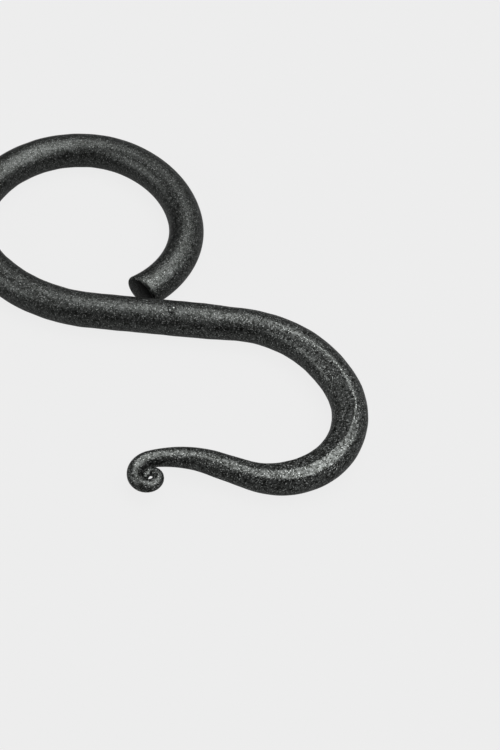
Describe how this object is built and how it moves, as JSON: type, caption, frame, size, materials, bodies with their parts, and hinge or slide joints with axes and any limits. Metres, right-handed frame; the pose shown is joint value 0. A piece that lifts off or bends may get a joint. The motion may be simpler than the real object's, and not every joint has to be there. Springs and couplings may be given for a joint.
{
  "type": "s hook",
  "caption": "Forged S hook of round iron bar, with a large closed eye at one end and a tapered arm rolled into a small scroll at the other.",
  "frame": {"origin": "centre of the eye, at half the bar's thickness", "axes": "+Y along the hook's length, from the hook's bowl to the eye; +Z out of the plane that the bar is bent in; +X across, with the hook's mouth towards -X"},
  "size_m": [0.0608, 0.1208, 0.0082],
  "materials": {
    "blackened_iron": "fine-grained satin black coat over forged iron"
  },
  "bodies": {
    "root": {"s_hook": "blackened_iron"}
  },
  "joints": []
}
